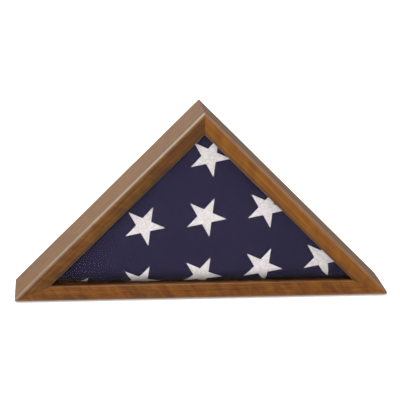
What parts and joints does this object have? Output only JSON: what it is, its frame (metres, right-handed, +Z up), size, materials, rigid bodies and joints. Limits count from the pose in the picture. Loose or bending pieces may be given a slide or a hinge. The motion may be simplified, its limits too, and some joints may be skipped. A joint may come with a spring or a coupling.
{
  "type": "folded flag display case",
  "caption": "Triangular mitred wooden box with a glass front and a lift-out back, holding a flag folded into a triangle.",
  "frame": {"origin": "on the surface that the case stands on, under the middle of the whole object", "axes": "+X along the long bottom side, to the right seen from the front; +Y from the glass front to the back; +Z up"},
  "size_m": [0.65, 0.1186, 0.3314],
  "materials": {
    "walnut": "satin lacquered walnut, straight grain along each board",
    "beech": "compressed beech, matt",
    "glass": "clear float glass, polished",
    "stop_wood": "dark stained poplar strip",
    "steel": "bright wire pin",
    "flag_cloth": "navy cotton bunting with white embroidered stars",
    "plywood": "walnut-faced plywood, matt lacquer",
    "leather": "brown vegetable-tanned leather",
    "brass": "lacquered pressed brass",
    "felt": "dark self-adhesive felt"
  },
  "bodies": {
    "case": {"biscuit_left_back": "beech", "biscuit_left_front": "beech", "biscuit_right_back": "beech", "biscuit_right_front": "beech", "biscuit_top_back": "beech", "biscuit_top_front": "beech", "bottom_board": "walnut", "button_screw_bottom_1": "brass", "button_screw_bottom_2": "brass", "button_screw_left_1": "brass", "button_screw_left_2": "brass", "button_screw_right_1": "brass", "button_screw_right_2": "brass", "felt_pad_left_back": "felt", "felt_pad_left_front": "felt", "felt_pad_right_back": "felt", "felt_pad_right_front": "felt", "folded_flag": "flag_cloth", "glass_pane": "glass", "glass_stop_bottom": "stop_wood", "glass_stop_left": "stop_wood", "glass_stop_right": "stop_wood", "left_board": "walnut", "right_board": "walnut", "stop_pin_bottom_1": "steel", "stop_pin_bottom_2": "steel", "stop_pin_left_1": "steel", "stop_pin_left_2": "steel", "stop_pin_right_1": "steel", "stop_pin_right_2": "steel"},
    "back": {"back_panel": "plywood", "pull_tab": "leather", "pull_tab_screw": "brass"},
    "turn_button_left_1": {"turn_button_left_1": "brass"},
    "turn_button_left_2": {"turn_button_left_2": "brass"},
    "turn_button_right_1": {"turn_button_right_1": "brass"},
    "turn_button_right_2": {"turn_button_right_2": "brass"},
    "turn_button_bottom_1": {"turn_button_bottom_1": "brass"},
    "turn_button_bottom_2": {"turn_button_bottom_2": "brass"}
  },
  "joints": [
    {"name": "back_panel_lift_out", "type": "slide", "parent": "case", "child": "back", "axis": [0, 1, 0], "range_m": [0, 0.15]},
    {"name": "turn_button_left_1_swivel", "type": "hinge", "parent": "case", "child": "turn_button_left_1", "pos_m": [-0.22764, 0.05565, 0.09714], "axis": [0, 1, 0], "continuous": true},
    {"name": "turn_button_left_2_swivel", "type": "hinge", "parent": "case", "child": "turn_button_left_2", "pos_m": [-0.08904, 0.05565, 0.23574], "axis": [0, 1, 0], "continuous": true},
    {"name": "turn_button_right_1_swivel", "type": "hinge", "parent": "case", "child": "turn_button_right_1", "pos_m": [0.08904, 0.05565, 0.23574], "axis": [0, 1, 0], "continuous": true},
    {"name": "turn_button_right_2_swivel", "type": "hinge", "parent": "case", "child": "turn_button_right_2", "pos_m": [0.22764, 0.05565, 0.09714], "axis": [0, 1, 0], "continuous": true},
    {"name": "turn_button_bottom_1_swivel", "type": "hinge", "parent": "case", "child": "turn_button_bottom_1", "pos_m": [0.1848, 0.05565, 0.00625], "axis": [0, 1, 0], "range_deg": [0, 180]},
    {"name": "turn_button_bottom_2_swivel", "type": "hinge", "parent": "case", "child": "turn_button_bottom_2", "pos_m": [-0.165, 0.05565, 0.00625], "axis": [0, 1, 0], "range_deg": [0, 180]}
  ]
}
